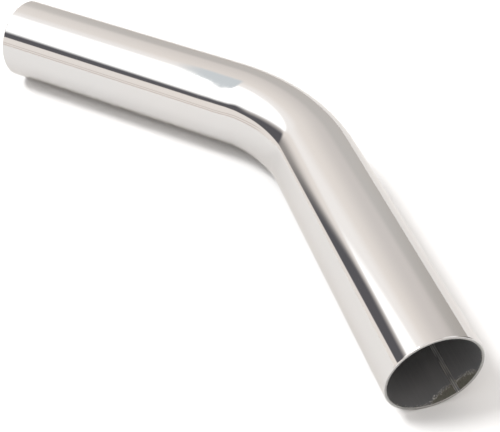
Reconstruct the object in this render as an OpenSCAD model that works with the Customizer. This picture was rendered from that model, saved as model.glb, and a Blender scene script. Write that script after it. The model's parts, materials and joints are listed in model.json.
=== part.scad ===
// Plain-ended stainless steel tube elbow, bent in one piece from seam-welded tube.
//
// The tube is one strip of steel, rolled round until its edges almost meet, and a
// weld bead that closes the gap along its whole length. Both run through the inlet
// leg, the bend and the outlet leg, so each section is swept along the same route.
//
// The origin is the centre of the inlet face. The inlet leg runs along +Y, the tube
// bends towards -X, and the elbow lies flat in the XY plane with +Z up.

/* [Tube] */
// Outside diameter of the tube
tube_od = 50.8; // [30:0.1:120]
// Wall thickness of the strip
wall = 1.65; // [1:0.05:4]

/* [Route] */
// Angle that the tube turns through
bend_angle = 45; // [15:1:90]
// Radius of the bend, to the centreline of the tube
bend_radius = 101.6; // [90:0.1:400]
// Straight length from the inlet face to the bend
inlet_leg = 158.75; // [40:0.25:600]
// Straight length from the bend to the outlet face
outlet_leg = 158.75; // [40:0.25:600]

/* [Seam weld] */
// Gap between the edges of the strip, which the weld fills
seam_gap = 2.3; // [1:0.1:6]
// Height of the weld's crown above the edges of the strip, inside the tube
seam_crown = 0.15; // [0.05:0.01:0.2]
// Place of the seam around the tube, from the bottom towards the outside of the bend
seam_clock = 39; // [-180:1:180]

/* [Cut ends] */
// Edge break around the outside of each cut end
outer_break = 0.3; // [0.1:0.05:0.4]
// Edge break around the inside of each cut end
inner_break = 0.4; // [0.1:0.05:0.5]

/* [Hidden] */

// Sides of each circle
$fn = 180;
// How far a cutter or a filler runs past the surface that ends it
overrun = 1;
// How many degrees each arm's bend runs past the middle before it is cut there
past_middle = 2;

tube_r = tube_od / 2;
bore_r = tube_r - wall;

// Distance from the tube's axis to the inner corners of the gap
gap_corner = sqrt(pow(bore_r, 2) - pow(seam_gap / 2, 2));
// The weld's crown is an arc through those two corners
crown_r = (pow(seam_gap / 2, 2) + pow(seam_crown, 2)) / (2 * seam_crown);
crown_centre = seam_crown - gap_corner - crown_r;

// ---- Sections across the tube: +X is away from the bend's centre, +Y is up

// Turns a section drawn at the bottom of the tube to the seam's place
module at_seam() {
    rotate(seam_clock) children();
}

// A strip as wide as the gap, centred on the Y axis, from low up to high
module gap_strip(low, high) {
    translate([-seam_gap / 2, low]) square([seam_gap, high - low]);
}

module wall_section() {
    difference() {
        circle(r = tube_r);
        circle(r = bore_r);
        at_seam() gap_strip(-tube_r - overrun, 0);
    }
}

// The crown's arc, on a straight-sided bar where its centre lies inside the wall
module crown_outline() {
    bar_low = -tube_r - overrun;
    bar_high = max(crown_centre, bar_low + overrun / 2);
    translate([0, crown_centre]) circle(r = crown_r);
    translate([-crown_r, bar_low]) square([2 * crown_r, bar_high - bar_low]);
}

module weld_section() {
    at_seam() intersection() {
        circle(r = tube_r);
        gap_strip(-tube_r - overrun, 0);
        crown_outline();
    }
}

// ---- Cut ends

// Rings that take the sharp edges off a cut end; the tube runs along +Z from it
module edge_breaks() {
    outer_foot = tube_r - outer_break;
    inner_foot = bore_r + inner_break;
    rotate_extrude() {
        polygon([
            [outer_foot - overrun, -overrun],
            [tube_r + overrun, -overrun],
            [tube_r + overrun, outer_break + overrun]
        ]);
        polygon([
            [inner_foot + overrun, -overrun],
            [bore_r - overrun, inner_break + overrun],
            [bore_r - overrun, -overrun]
        ]);
    }
}

// ---- Route of the tube

// Sweeps a section through one leg and just past the middle of the bend. The bend
// is round the Z axis and starts at the X axis; the leg runs from there along -Y.
module leg_and_half_bend(leg) {
    translate([bend_radius, 0, 0]) rotate([90, 0, 0])
        linear_extrude(height = leg) children();
    rotate_extrude(angle = bend_angle / 2 + past_middle)
        translate([bend_radius, 0]) children();
}

// One arm of the elbow, cut square at the end of its leg and at the middle of the
// bend, which is at the XZ plane
module arm(leg) {
    difference() {
        rotate([0, 0, -bend_angle / 2]) difference() {
            leg_and_half_bend(leg) children();
            translate([bend_radius, -leg, 0]) rotate([-90, 0, 0]) edge_breaks();
        }
        translate([0, 0, -tube_od]) cube([bend_radius + tube_od, tube_od, 2 * tube_od]);
    }
}

// Sweeps a section through the whole elbow, as two arms that meet in the middle
module along_route() {
    translate([-bend_radius, inlet_leg, 0]) rotate([0, 0, bend_angle / 2]) {
        arm(inlet_leg) children();
        mirror([0, 1, 0]) arm(outlet_leg) children();
    }
}

// ---- Pieces

module tube_wall() {
    color([0.80, 0.80, 0.79]) along_route() wall_section();
}

module seam_weld() {
    color([0.62, 0.60, 0.55]) along_route() weld_section();
}

tube_wall();
seam_weld();
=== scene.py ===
"""Looks of a 45 degree bend of polished stainless tube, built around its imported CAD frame, in metres."""

import json
import math

import bpy
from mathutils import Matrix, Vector, noise
from mathutils.geometry import intersect_line_line


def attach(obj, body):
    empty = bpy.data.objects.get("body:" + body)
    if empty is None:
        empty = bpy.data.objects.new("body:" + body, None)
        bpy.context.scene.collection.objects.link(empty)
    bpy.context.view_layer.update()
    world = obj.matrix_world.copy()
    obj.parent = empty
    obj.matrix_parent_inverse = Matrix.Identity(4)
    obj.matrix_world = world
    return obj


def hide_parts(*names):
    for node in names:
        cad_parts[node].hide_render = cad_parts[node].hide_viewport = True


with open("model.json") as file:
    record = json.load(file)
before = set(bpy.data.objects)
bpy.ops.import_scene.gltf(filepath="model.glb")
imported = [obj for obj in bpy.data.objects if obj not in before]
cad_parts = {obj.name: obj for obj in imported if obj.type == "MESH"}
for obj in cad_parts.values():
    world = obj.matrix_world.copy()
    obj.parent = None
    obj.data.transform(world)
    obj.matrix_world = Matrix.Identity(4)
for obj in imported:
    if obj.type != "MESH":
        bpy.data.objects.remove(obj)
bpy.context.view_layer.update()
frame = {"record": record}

MM = 0.001
UP = Vector((0, 0, 1))


# ------------------------------------------------------------------ sizes, from the frame


def mount(name):
    """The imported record's mount of that name."""
    return next(m for m in frame["record"]["mounts"] if m["name"] == name)


TUBE_R = mount("inlet_outside")["dims"]["r_mm"] * MM
BORE_R = mount("inlet_bore")["dims"]["r_mm"] * MM
INLET = Vector(mount("inlet_bore")["pos_m"])
OUTLET = Vector(mount("outlet_bore")["pos_m"])
INLET_DIR = -Vector(mount("inlet_bore")["axis"])
OUTLET_DIR = Vector(mount("outlet_bore")["axis"])

BEND_R = 4 * TUBE_R  # to the centreline: two tube diameters
BEND_ANGLE = INLET_DIR.angle(OUTLET_DIR)
OUTWARD = (INLET_DIR * INLET_DIR.dot(OUTLET_DIR) - OUTLET_DIR).normalized()
AXES_MEET = intersect_line_line(INLET, INLET + INLET_DIR, OUTLET, OUTLET - OUTLET_DIR)[0]
TANGENT = BEND_R * math.tan(BEND_ANGLE / 2)
INLET_LEG = (AXES_MEET - INLET).length - TANGENT
OUTLET_LEG = (OUTLET - AXES_MEET).length - TANGENT
BEND_LENGTH = BEND_R * BEND_ANGLE
BEND_END = INLET_LEG + BEND_LENGTH
ROUTE_LENGTH = BEND_END + OUTLET_LEG
BEND_CENTRE = INLET + INLET_DIR * INLET_LEG - OUTWARD * BEND_R

SEAM_CLOCK = math.radians(39)  # from the bottom towards the outside of the bend
SEAM_GAP = 2.3 * MM
SEAM_CROWN = 0.15 * MM
OUTER_BREAK = 0.6 * MM  # polishing rounds the outer edge more than the CAD's plain break
INNER_BREAK = 0.4 * MM


# ------------------------------------------------------------------ the tube's shape


def smooth(low, high, x):
    """0 below low, 1 above high and an S curve between them."""
    t = min(max((x - low) / (high - low), 0), 1)
    return t * t * (3 - 2 * t)


def hump(middle, half_width, x):
    """1 at the middle, falling to 0 a half width away."""
    return 1 - smooth(0, half_width, abs(x - middle))


def route(s):
    """Centre, direction and outward side of the centreline at distance s from the inlet."""
    turn = min(max((s - INLET_LEG) / BEND_R, 0), BEND_ANGLE)
    straight = min(s - INLET_LEG, 0) + max(s - BEND_END, 0)
    side = OUTWARD * math.cos(turn) + INLET_DIR * math.sin(turn)
    along = INLET_DIR * math.cos(turn) - OUTWARD * math.sin(turn)
    return BEND_CENTRE + side * BEND_R + along * straight, along, side


def in_bend(s):
    """1 in the bend and 0 on the legs, eased over a short length."""
    ease = 14 * MM
    return smooth(INLET_LEG - ease, INLET_LEG + ease, s) - smooth(BEND_END - ease, BEND_END + ease, s)


def late_start(s):
    """How far the inside of the bend stands off the true curve.

    The wall there runs on straight past the leg's end, then kinks into the curve.
    """
    deepest = 0.4 * MM
    turn = max(min(s - INLET_LEG, BEND_END - s), 0) / BEND_R
    straight_on = (BEND_R - TUBE_R) * (1 / math.cos(turn) - 1)
    rounding = 0.1 * MM
    gap = (straight_on - deepest) / rounding
    return deepest - rounding * math.log1p(math.exp(min(-gap, 50))) if gap > -40 else straight_on


def bend_relief(s, clock):
    """How far bending pulls the wall in: flatter on the inside and the outside of the bend."""
    inside = max(-math.sin(clock), 0)
    outside = max(math.sin(clock), 0) ** 2
    return -late_start(s) * inside - in_bend(s) * 0.3 * MM * outside


def tool_marks(s, clock):
    """The bending die's low ridge on the inside of the bend, and the faint ripples near its end."""
    inner_side = smooth(0.2, 0.9, -math.sin(clock))
    ridge = 0.008 * hump(INLET_LEG + 8 * MM, 4 * MM, s)
    uneven = noise.noise(Vector((s / (8 * MM), clock * TUBE_R / (11 * MM), 7)))
    ripples = 0.055 * hump(BEND_END - 4 * MM, 34 * MM, s) * uneven
    return inner_side * MM * (ridge + ripples)


def waviness(s, clock):
    """The slow waves that hand polishing leaves, a few micrometres high."""
    round_tube = Vector((math.cos(clock), math.sin(clock), 0)) * 1.4
    broad = noise.noise(round_tube + Vector((0, 0, s / (38 * MM))))
    fine = noise.noise(round_tube * 2.3 + Vector((5, 0, s / (14 * MM))))
    return 0.009 * MM * broad + 0.003 * MM * fine


def relief(s, clock):
    """All that changes the outside of the tube, as a radius change."""
    return bend_relief(s, clock) + tool_marks(s, clock) + waviness(s, clock)


def spread(low, high, step):
    """Evenly spaced values from low to high, both included, about a step apart."""
    count = max(1, round((high - low) / step))
    return [low + (high - low) * i / count for i in range(count + 1)]


def lengthwise(inset):
    """The distances along the route at which the wall has rings: close where the shape changes."""
    guard = 0.04 * MM
    margin = 0.8 * MM
    mouth = 7 * MM
    leg_step = 3.2 * MM
    start = [inset, inset + guard] + spread(margin, mouth, 0.3 * MM)
    inlet = spread(mouth + 2 * MM, INLET_LEG - 8 * MM, leg_step)
    bend = spread(INLET_LEG - 7 * MM, BEND_END + 7 * MM, 1.1 * MM)
    outlet = spread(BEND_END + 9 * MM, ROUTE_LENGTH - margin, leg_step)
    return start + inlet + bend + outlet + [ROUTE_LENGTH - inset - guard, ROUTE_LENGTH - inset]


def quarter(steps):
    """Angles inside a quarter turn, ends left out."""
    return [math.pi / 2 * i / steps for i in range(1, steps)]


def end_stations(face, inward):
    """The wall's end from the bore to the outside: an edge break, the cut face, a polished edge."""
    inner = [
        (face + inward * INNER_BREAK * (1 - math.sin(a)), BORE_R + INNER_BREAK * (1 - math.cos(a)), "cut")
        for a in quarter(4)
    ]
    outer = [
        (face + inward * OUTER_BREAK * (1 - math.cos(a)), TUBE_R - OUTER_BREAK * (1 - math.sin(a)), "edge")
        for a in quarter(6)
    ]
    flat = [(face, BORE_R + INNER_BREAK, "cut"), (face, TUBE_R - OUTER_BREAK, "cut")]
    return inner + flat + outer


def filed_depth(clock):
    """How far the hand-filed band reaches into the inlet mouth: most at the weld, with a tail below it."""
    offset = (clock - SEAM_CLOCK + math.pi) % (2 * math.pi) - math.pi
    band = 5.7 * MM * max(1 - (offset / math.radians(36)) ** 2, 0) ** 0.7
    tail = 0.7 * MM * hump(math.radians(-36), math.radians(26), offset)
    return max(band, tail)


class Skin:
    """A mesh built from points on the tube, with a map of route distance and arc length."""

    def __init__(self):
        self.points = []
        self.place = []
        self.faces = []
        self.slots = []

    def point(self, s, clock, radius):
        centre, along, side = route(s)
        self.points.append(centre + radius * (math.sin(clock) * side - math.cos(clock) * UP))
        self.place.append((s, clock * TUBE_R))
        return len(self.points) - 1

    def face(self, corners, slot):
        self.faces.append(corners)
        self.slots.append(slot)

    def build(self, name, materials, extra):
        """The finished object. extra gives each point attribute's name and its function of s and clock."""
        mesh = bpy.data.meshes.new(name)
        mesh.from_pydata(self.points, [], self.faces)
        mesh.polygons.foreach_set("material_index", self.slots)
        mesh.polygons.foreach_set("use_smooth", [True] * len(self.faces))
        for material in materials:
            mesh.materials.append(material)
        layer = mesh.uv_layers.new(name="route")
        for loop in mesh.loops:
            layer.data[loop.index].uv = self.place[loop.vertex_index]
        for attribute, value in extra.items():
            field = mesh.attributes.new(attribute, "FLOAT", "POINT")
            field.data.foreach_set("value", [value(s, arc / TUBE_R) for s, arc in self.place])
        mesh.validate()
        piece = bpy.data.objects.new(name, mesh)
        bpy.context.scene.collection.objects.link(piece)
        return piece


def finish_piece(piece, node):
    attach(piece, "root")
    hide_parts(node)


def wall_clocks():
    """Clock angles of the wall's columns, from one side of the weld round to the other."""
    half = SEAM_GAP / 2 / TUBE_R
    step = math.radians(2.25)
    return spread(SEAM_CLOCK + half, SEAM_CLOCK + 2 * math.pi - half, step)


def filed_cut(s, clock):
    """The filed band's own depth below the bore, as a radius change."""
    cut = 0.06 * MM
    run_out = 1.2 * MM
    return cut * smooth(0, run_out, filed_depth(clock) - s)


def wall_radius(s, r, part, clock):
    """The radius of a point of the wall, with the relief that its part of the wall has."""
    if part == "outside":
        return r + relief(s, clock)
    if part == "bore":
        return r + bend_relief(s, clock) + filed_cut(s, clock)
    return r


def close_sides(skin, rings, lengths, end_count, slot):
    """The wall's two long sides, which face the weld: quads along the route and one face per end."""
    last_outer = lengths - 1
    first_inner = lengths + end_count
    last_inner = first_inner + lengths - 1
    for column, flip in ((0, False), (-1, True)):
        edge = [ring[column] for ring in rings]
        inner_edge = edge[first_inner:last_inner + 1][::-1]
        walls = [(edge[i], edge[i + 1], inner_edge[i + 1], inner_edge[i]) for i in range(last_outer)]
        walls.append(tuple(edge[last_outer:first_inner + 1]))
        walls.append(tuple(edge[last_inner:] + edge[:1]))
        for corners in walls:
            skin.face(corners[::-1] if flip else corners, slot)


def tube_skin():
    """The wall: a strip bent round the route and open along the weld, closed on all its sides."""
    skin = Skin()
    polished, cut, bore = range(3)
    clocks = wall_clocks()
    outside = [(s, TUBE_R, "outside") for s in lengthwise(OUTER_BREAK)]
    inside = [(s, BORE_R, "bore") for s in lengthwise(INNER_BREAK)]
    outlet_end = end_stations(ROUTE_LENGTH, -1)[::-1]
    inlet_end = end_stations(0, 1)
    loop = outside + outlet_end + inside[::-1] + inlet_end

    rings = [[skin.point(s, c, wall_radius(s, r, part, c)) for c in clocks] for s, r, part in loop]
    for i, here in enumerate(rings):
        following = (i + 1) % len(rings)
        after = rings[following]
        parts = {loop[i][2], loop[following][2]}
        slot = polished if parts <= {"outside", "edge"} else bore if parts == {"bore"} else cut
        for j in range(len(clocks) - 1):
            skin.face((here[j], here[j + 1], after[j + 1], after[j]), slot)
    close_sides(skin, rings, len(outside), len(outlet_end), cut)
    return skin


def weld_height(s, across):
    """Height of the weld's inside above the bore: a low crown, rolled lines along it and ripples."""
    crown = SEAM_CROWN * (1 - across * across)
    lines = 0.035 * MM * math.cos(3 * math.pi * across)
    ripple = 0.012 * MM * math.sin(2 * math.pi * (s / (1.3 * MM) + 0.35 * across * across))
    wander = 0.02 * MM * noise.noise(Vector((s / (6 * MM), across * 2, 3)))
    return crown + (lines + ripple + wander) * (1 - across ** 4)


def weld_skin():
    """The weld: a strip that fills the wall's gap, ground flush outside and left as rolled inside."""
    skin = Skin()
    polished, rolled, cut = range(3)
    lap = 0.02 * MM  # into the wall on both sides, so that no light passes between them
    half = (SEAM_GAP / 2 + lap) / TUBE_R
    columns = 12
    acrosses = [2 * j / columns - 1 for j in range(columns + 1)]
    start = [OUTER_BREAK * part for part in (0, 0.05, 0.15, 0.3, 0.6, 1)]
    lengths = start + spread(2 * OUTER_BREAK, ROUTE_LENGTH - 2 * OUTER_BREAK, 0.65 * MM)
    lengths += [ROUTE_LENGTH - s for s in start[::-1]]

    def end_break(s, size):
        """How much the rounded edge takes off the radius near either end."""
        reach = 1 - min(s, ROUTE_LENGTH - s, size) / size
        return size * (1 - math.sqrt(1 - reach * reach))

    outer = []
    inner = []
    for s in lengths:
        clocks = [(SEAM_CLOCK + across * half, across) for across in acrosses]
        outer.append([
            skin.point(s, c, TUBE_R + relief(s, c) - end_break(s, OUTER_BREAK)) for c, a in clocks
        ])
        inner.append([
            skin.point(s, c, BORE_R + bend_relief(s, c) - weld_height(s, a) + end_break(s, INNER_BREAK))
            for c, a in clocks
        ])
    for i in range(len(lengths) - 1):
        for j in range(columns):
            skin.face((outer[i][j], outer[i][j + 1], outer[i + 1][j + 1], outer[i + 1][j]), polished)
            skin.face((inner[i][j], inner[i + 1][j], inner[i + 1][j + 1], inner[i][j + 1]), rolled)
        skin.face((outer[i][0], outer[i + 1][0], inner[i + 1][0], inner[i][0]), rolled)
        skin.face((outer[i][-1], inner[i][-1], inner[i + 1][-1], outer[i + 1][-1]), rolled)
    skin.face(tuple(outer[0][::-1] + inner[0]), cut)
    skin.face(tuple(outer[-1] + inner[-1][::-1]), cut)
    return skin


# ------------------------------------------------------------------ node wiring


class Nodes:
    """Short forms for making and joining the nodes of a tree."""

    def __init__(self, tree):
        self.tree = tree
        tree.nodes.clear()

    def add(self, kind, inputs=None, **settings):
        node = self.tree.nodes.new(kind)
        for name, value in settings.items():
            setattr(node, name, value)
        for name, value in (inputs or {}).items():
            self.feed(node.inputs[name], value)
        return node

    def feed(self, socket, value):
        if isinstance(value, bpy.types.NodeSocket):
            self.tree.links.new(value, socket)
        else:
            socket.default_value = value

    def math(self, operation, a, b=0.0):
        return self.add("ShaderNodeMath", {0: a, 1: b}, operation=operation).outputs[0]

    def times(self, *values):
        product = values[0]
        for value in values[1:]:
            product = self.math("MULTIPLY", product, value)
        return product

    def between(self, value, low, high, out_low=0.0, out_high=1.0):
        """value from low to high, as an S curve from out_low to out_high."""
        node = self.add(
            "ShaderNodeMapRange",
            {"Value": value, "From Min": low, "From Max": high, "To Min": out_low, "To Max": out_high},
            interpolation_type="SMOOTHSTEP",
        )
        return node.outputs["Result"]

    def mix(self, factor, a, b):
        node = self.add("ShaderNodeMix", data_type="RGBA")
        self.feed(node.inputs["Factor"], factor)
        self.feed(node.inputs[6], a)
        self.feed(node.inputs[7], b)
        return node.outputs[2]

    def scaled(self, vector, scale):
        node = self.add("ShaderNodeVectorMath", {0: vector, 1: scale}, operation="MULTIPLY")
        return node.outputs[0]

    def noise(self, vector, scale, detail=2.0, roughness=0.5):
        node = self.add(
            "ShaderNodeTexNoise",
            {"Vector": vector, "Scale": scale, "Detail": detail, "Roughness": roughness},
        )
        return node.outputs[0]

    def bump(self, height, distance, strength=1.0, normal=None):
        node = self.add("ShaderNodeBump", {"Height": height, "Distance": distance, "Strength": strength})
        if normal is not None:
            self.feed(node.inputs["Normal"], normal)
        return node.outputs["Normal"]


def linear(*levels):
    """A colour given as 0 to 255 display levels, as linear light with alpha 1."""
    light = [v / 255 / 12.92 if v <= 10 else ((v / 255 + 0.055) / 1.055) ** 2.4 for v in levels]
    return (*light, 1.0)


def new_material(name):
    material = bpy.data.materials.new(name)
    material.use_nodes = True
    return material, Nodes(material.node_tree)


def close_material(nodes, shader):
    output = nodes.add("ShaderNodeOutputMaterial")
    nodes.tree.links.new(shader.outputs[0], output.inputs["Surface"])


def route_map(nodes):
    """Distance along the route and round the tube, in metres."""
    return nodes.add("ShaderNodeUVMap", uv_map="route").outputs[0]


# ------------------------------------------------------------------ materials

METAL_LEVEL = 0.57  # share of the light that the polished steel gives back


def polished_steel():
    """The mirror polish: fine lines round the tube, faint haze and slow changes of tone."""
    material, n = new_material("polished_steel")
    place = route_map(n)
    body = n.add("ShaderNodeTexCoord").outputs["Object"]
    lines = n.noise(n.scaled(place, (5200, 90, 1)), 1.0, 3.0, 0.6)
    scuffs = n.noise(n.scaled(place, (900, 60, 1)), 1.0, 2.0)
    haze = n.noise(body, 26.0, 3.0)
    tone = n.noise(body, 9.0, 2.0)
    warm = (0.5716, 0.5605, 0.5515, 1)
    plain = (0.5635, 0.5575, 0.5525, 1)
    colour = n.mix(n.between(tone, 0.35, 0.65), warm, plain)
    rough = n.math("ADD", n.between(haze, 0.35, 0.75, 0.035, 0.075), n.between(scuffs, 0.55, 0.8, 0, 0.03))
    shader = n.add(
        "ShaderNodeBsdfPrincipled",
        {
            "Base Color": colour,
            "Metallic": 1.0,
            "Roughness": rough,
            "Specular Tint": (0.84, 0.82, 0.8, 1),  # duller and warmer at grazing angles
            "Normal": n.bump(lines, 0.0015 * MM, 0.5, n.bump(haze, 0.004 * MM, 0.5)),
        },
    )
    close_material(n, shader)
    return material


def cut_steel():
    """The sawn and filed ends: bright, with fine scratches across the wall."""
    material, n = new_material("cut_steel")
    place = route_map(n)
    body = n.add("ShaderNodeTexCoord").outputs["Object"]
    scratches = n.noise(n.scaled(place, (300, 2600, 1)), 1.0, 3.0, 0.7)
    saw = n.noise(n.scaled(body, (3000, 500, 3000)), 1.0, 2.0)
    colour = n.mix(n.between(scratches, 0.3, 0.7), (0.24, 0.24, 0.235, 1), (0.4, 0.395, 0.38, 1))
    shader = n.add(
        "ShaderNodeBsdfPrincipled",
        {
            "Base Color": colour,
            "Metallic": 1.0,
            "Roughness": n.between(saw, 0.3, 0.7, 0.2, 0.42),
            "Normal": n.bump(scratches, 0.02 * MM, 0.5),
        },
    )
    close_material(n, shader)
    return material


def bore_steel():
    """The unpolished inside: dull grey drawing lines, and the band filed by hand at the inlet, with painted
    glints along its ragged edge.
    """
    material, n = new_material("bore_steel")
    place = route_map(n)
    body = n.add("ShaderNodeTexCoord").outputs["Object"]
    drawing = n.noise(n.scaled(place, (12, 1500, 1)), 1.0, 3.0, 0.6)
    patches = n.noise(body, 32.0, 3.0)
    dull = n.mix(n.between(drawing, 0.3, 0.7), (0.175, 0.178, 0.185, 1), (0.2, 0.203, 0.21, 1))
    dull = n.mix(n.between(patches, 0.4, 0.8, 0, 0.5), dull, (0.25, 0.25, 0.255, 1))
    edge = n.add("ShaderNodeAttribute", attribute_name="filed").outputs["Fac"]
    ragged = n.noise(n.scaled(place, (1000, 1000, 1)), 1.0, 3.0, 0.7)
    reach = n.math("ADD", edge, n.between(ragged, 0.36, 0.64, -1.1, 1.1))
    filed = n.between(reach, -0.1, 0.2)
    # the filed band's ragged edge: lighter filed metal, with near-white dashes painted on it as glints
    glint_dashes = n.between(n.noise(n.scaled(place, (900, 1700, 1)), 1.0, 2.0), 0.5, 0.57)
    lip_glints = n.times(n.between(reach, -0.6, -0.1), n.between(reach, 0.7, 0.2), glint_dashes)
    strokes = n.noise(n.scaled(place, (500, 3800, 1)), 1.0, 3.0, 0.7)
    olive = n.mix(n.between(strokes, 0.3, 0.7), (0.125, 0.123, 0.1, 1), (0.25, 0.243, 0.205, 1))
    colour = n.mix(filed, dull, olive)
    # painted glints: near-white dashes on the filed band's edge
    colour = n.mix(lip_glints, colour, (0.95, 0.93, 0.88, 1))
    height = n.math("ADD", n.times(drawing, 0.15), n.times(strokes, filed))
    shader = n.add(
        "ShaderNodeBsdfPrincipled",
        {
            "Base Color": colour,
            "Metallic": 0.5,
            "Roughness": n.between(patches, 0.3, 0.7, 0.42, 0.56),
            "Normal": n.bump(height, 0.03 * MM, 0.6),
        },
    )
    close_material(n, shader)
    return material


def weld_steel():
    """The weld's inside: grey with a straw tint and lighter rolled lines."""
    material, n = new_material("weld_steel")
    place = route_map(n)
    body = n.add("ShaderNodeTexCoord").outputs["Object"]
    across = n.math("SUBTRACT", n.add("ShaderNodeSeparateXYZ", {0: place}).outputs["Y"], SEAM_CLOCK * TUBE_R)
    wave = n.math("COSINE", n.times(across, 2 * math.pi / (1.05 * MM)))
    lines = n.between(wave, 0.35, 0.95)
    patches = n.noise(n.scaled(place, (160, 900, 1)), 1.0, 3.0)
    grey = n.mix(n.between(patches, 0.3, 0.7), (0.15, 0.153, 0.16, 1), (0.19, 0.193, 0.2, 1))
    bright = n.mix(n.between(n.noise(body, 40.0), 0.4, 0.6), (0.62, 0.62, 0.62, 1), (0.66, 0.63, 0.56, 1))
    colour = n.mix(n.times(lines, n.between(patches, 0.25, 0.6)), grey, bright)
    shader = n.add(
        "ShaderNodeBsdfPrincipled",
        {
            "Base Color": colour,
            "Metallic": 0.45,
            "Roughness": n.between(patches, 0.3, 0.7, 0.42, 0.55),
            "Normal": n.bump(patches, 0.02 * MM, 0.6),
        },
    )
    close_material(n, shader)
    return material


# ------------------------------------------------------------------ the studio


def towards(azimuth, elevation):
    """Unit vector to a place in the studio. Azimuth is in degrees from +Y towards +X."""
    a = math.radians(azimuth)
    e = math.radians(elevation)
    return Vector((math.sin(a) * math.cos(e), math.cos(a) * math.cos(e), math.sin(e)))


class Studio:
    """The light that surrounds the object: a pale room in which soft-edged cards are hung."""

    def __init__(self, world, room):
        world.use_nodes = True
        self.n = Nodes(world.node_tree)
        self.ray = self.n.add("ShaderNodeTexCoord").outputs["Generated"]
        self.height = self.n.add("ShaderNodeSeparateXYZ", {0: self.ray}).outputs["Z"]
        self.light = self.seen_as(room)

    def seen_as(self, levels, gain=1.0):
        """The light that looks like these display levels when the polished steel reflects it."""
        return tuple(gain * c / METAL_LEVEL for c in linear(*levels)[:3]) + (1.0,)

    def above(self, elevation, soft):
        """1 above an elevation, fading over soft degrees."""
        low = math.sin(math.radians(elevation - soft / 2))
        high = math.sin(math.radians(elevation + soft / 2))
        return self.n.between(self.height, low, high)

    def below(self, elevation, soft):
        return self.n.math("SUBTRACT", 1.0, self.above(elevation, soft))

    def right_of(self, low_place, high_place, soft):
        """1 right of the straight card edge that runs up through two places."""
        normal = towards(*low_place).cross(towards(*high_place)).normalized()
        node = self.n.add("ShaderNodeVectorMath", {0: self.ray, 1: normal}, operation="DOT_PRODUCT")
        reach = math.sin(math.radians(soft / 2))
        return self.n.between(node.outputs["Value"], -reach, reach)

    def left_of(self, low_place, high_place, soft):
        return self.n.math("SUBTRACT", 1.0, self.right_of(low_place, high_place, soft))

    def round_card(self, place, radius, soft):
        """1 within a radius in degrees of a place."""
        node = self.n.add("ShaderNodeVectorMath", {0: self.ray, 1: towards(*place)}, operation="DOT_PRODUCT")
        outer = math.cos(math.radians(radius + soft / 2))
        inner = math.cos(math.radians(radius - soft / 2))
        return self.n.between(node.outputs["Value"], outer, inner)

    def hang(self, levels, *edges, gain=1.0):
        """Covers what is inside all the edges with a card of that tone."""
        self.light = self.n.mix(self.n.times(*edges), self.light, self.seen_as(levels, gain))

    def close(self):
        """The camera itself sees a plain white backdrop; the steel and the floor see the cards."""
        n = self.n
        direct = n.add("ShaderNodeLightPath").outputs["Is Camera Ray"]
        cards = n.add("ShaderNodeBackground", {"Color": self.light, "Strength": 1.0})
        backdrop = n.add("ShaderNodeBackground", {"Color": (1, 1, 1, 1), "Strength": 1.0})
        shown = n.add("ShaderNodeMixShader", {0: direct, 1: cards.outputs[0], 2: backdrop.outputs[0]})
        output = n.add("ShaderNodeOutputWorld")
        n.tree.links.new(shown.outputs[0], output.inputs["Surface"])


SOFTBOX_GAIN = 1.15  # against the room's white
LAMP_GAIN = 25.0


def upright(azimuth):
    """Two places one above the other, for the upright edge of a card."""
    return (azimuth, 0), (azimuth, 60)


def grey_the_right(studio):
    """The right half of the room is greyer, most of all low down and far to the right."""
    studio.hang((201, 196, 193), studio.right_of(*upright(8), 40), studio.left_of(*upright(150), 40))
    studio.hang(
        (187, 184, 181),
        studio.right_of(*upright(6), 24),
        studio.left_of(*upright(150), 40),
        studio.below(29, 12),
    )
    studio.hang((160, 156, 151), studio.right_of(*upright(54), 24), studio.left_of(*upright(120), 40))


def hang_rails(studio):
    """Two brown rails on the left, one just above the edge of the table and one over it."""
    for low, high in ((-0.4, 1.7), (4.2, 6.2)):
        studio.hang(
            (199, 191, 186),
            studio.left_of(*upright(-70), 16),
            studio.right_of(*upright(-160), 20),
            studio.above(low, 1),
            studio.below(high, 1.4),
        )


def hang_softbox(studio):
    """The main light, upper left: the light spilt round a softbox, the softbox and the lamp in it."""
    white = (255, 255, 255)
    studio.hang(
        (238, 235, 233),
        studio.left_of((-25, 25), (-19, 61), 14),
        studio.right_of(*upright(-118), 6),
        studio.above(27, 6),
    )
    studio.hang(
        white,
        studio.left_of((-42.5, 28), (-35, 46), 4),
        studio.left_of((-36, 40), (-39, 60), 8),
        studio.right_of(*upright(-118), 6),
        studio.above(28, 3),
        studio.below(72, 6),
        gain=SOFTBOX_GAIN,
    )
    studio.hang(white, studio.round_card((-62, 53), 8, 4), gain=LAMP_GAIN)


def hang_ceiling(studio):
    """The blue-grey ceiling, which shows as a lens above the softbox in the bend."""
    studio.hang(
        (199, 205, 209),
        studio.right_of((-22, 61.2), (-60, 63.4), 1.4),
        studio.left_of(*upright(-8), 6),
        studio.right_of(*upright(-110), 10),
    )


def hang_flag(studio):
    """The dark flag under the softbox, in two parts, and the grey card that shows past its right edge."""
    dark = (87, 86, 90)
    lower_edge = studio.right_of((-44, 1.2), (-107, 20.5), 2.5)
    studio.hang(
        (150, 146, 143),
        lower_edge,
        studio.left_of(*upright(-32), 10),
        studio.right_of(*upright(-74), 14),
        studio.below(15, 18),
    )
    studio.hang(
        dark,
        lower_edge,
        studio.left_of((-44.5, 2), (-46, 25), 6),
        studio.right_of(*upright(-128), 8),
        studio.below(26, 13),
    )
    studio.hang(
        dark,
        lower_edge,
        studio.left_of(*upright(-84), 12),
        studio.right_of(*upright(-116), 8),
        studio.below(30.5, 8),
    )


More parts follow.
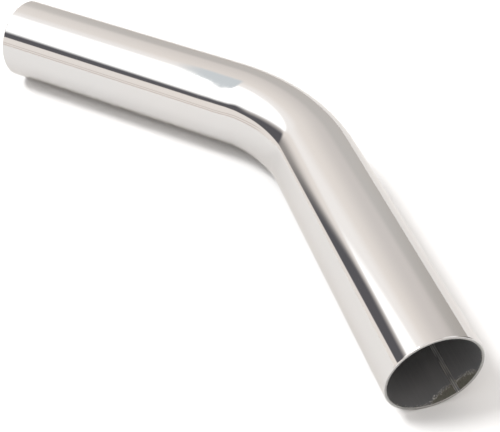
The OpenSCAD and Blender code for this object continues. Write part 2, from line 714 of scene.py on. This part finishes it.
def hang_right_side(studio):
    """A softbox over a dark band, on the right, for the sides that the photo does not show."""
    studio.hang(
        (250, 250, 250),
        studio.right_of(*upright(62), 16),
        studio.left_of(*upright(118), 12),
        studio.above(34, 10),
        studio.below(66, 8),
    )
    studio.hang(
        (104, 101, 102),
        studio.right_of(*upright(70), 14),
        studio.left_of(*upright(120), 26),
        studio.above(2, 4),
        studio.below(19, 7),
    )


def light_studio():
    world = bpy.data.worlds.new("studio")
    bpy.context.scene.world = world
    studio = Studio(world, (226, 220, 215))
    grey_the_right(studio)
    hang_rails(studio)
    hang_softbox(studio)
    hang_ceiling(studio)
    hang_flag(studio)
    hang_right_side(studio)
    studio.close()


def lay_floor():
    """A white table. It ends behind the object, so that the steel sees the room past its edge."""
    mesh = bpy.data.meshes.new("table")
    left, right, front, back = -1.6, 1.4, -1.6, 0.62
    corners = [(left, front), (right, front), (right, back), (left, back)]
    mesh.from_pydata([(x, y, -TUBE_R) for x, y in corners], [], [(0, 1, 2, 3)])
    table = bpy.data.objects.new("table", mesh)
    bpy.context.scene.collection.objects.link(table)
    material, n = new_material("white_table")
    shader = n.add("ShaderNodeBsdfDiffuse", {"Color": (0.71, 0.71, 0.71, 1), "Roughness": 0.0})
    close_material(n, shader)
    mesh.materials.append(material)


# ------------------------------------------------------------------ the camera

# fitted to the outlines in the photo with the bend's own sizes held; lengths are in tube radii
CAMERA_AZIMUTH = math.radians(-17.09)
CAMERA_ELEVATION = math.radians(42.68)
CAMERA_AIM = Vector((-1.957, 5.048, 0)) * TUBE_R
CAMERA_DISTANCE = 20.687 * TUBE_R
LENS = 69.68  # focal length in millimetres, as is the sensor's width
SENSOR = 36


def set_camera():
    flat = math.cos(CAMERA_ELEVATION)
    back = Vector((
        math.sin(CAMERA_AZIMUTH) * flat,
        -math.cos(CAMERA_AZIMUTH) * flat,
        math.sin(CAMERA_ELEVATION),
    ))
    data = bpy.data.cameras.new("camera")
    data.lens = LENS
    data.sensor_width = SENSOR
    camera = bpy.data.objects.new("camera", data)
    camera.location = CAMERA_AIM + back * CAMERA_DISTANCE
    camera.rotation_mode = "QUATERNION"
    camera.rotation_quaternion = (-back).to_track_quat("-Z", "Y")
    bpy.context.scene.collection.objects.link(camera)
    bpy.context.scene.camera = camera


# ------------------------------------------------------------------ the whole scene


def build():
    bpy.context.scene.view_settings.view_transform = "Standard"
    set_camera()
    light_studio()
    lay_floor()
    polished = polished_steel()
    cut = cut_steel()
    filed = {"filed": lambda s, clock: (filed_depth(clock) - s) / MM}
    wall = tube_skin().build("tube_wall_skin", [polished, cut, bore_steel()], filed)
    finish_piece(wall, "tube_wall")
    weld = weld_skin().build("seam_weld_bead", [polished, weld_steel(), cut], {})
    finish_piece(weld, "seam_weld")


build()
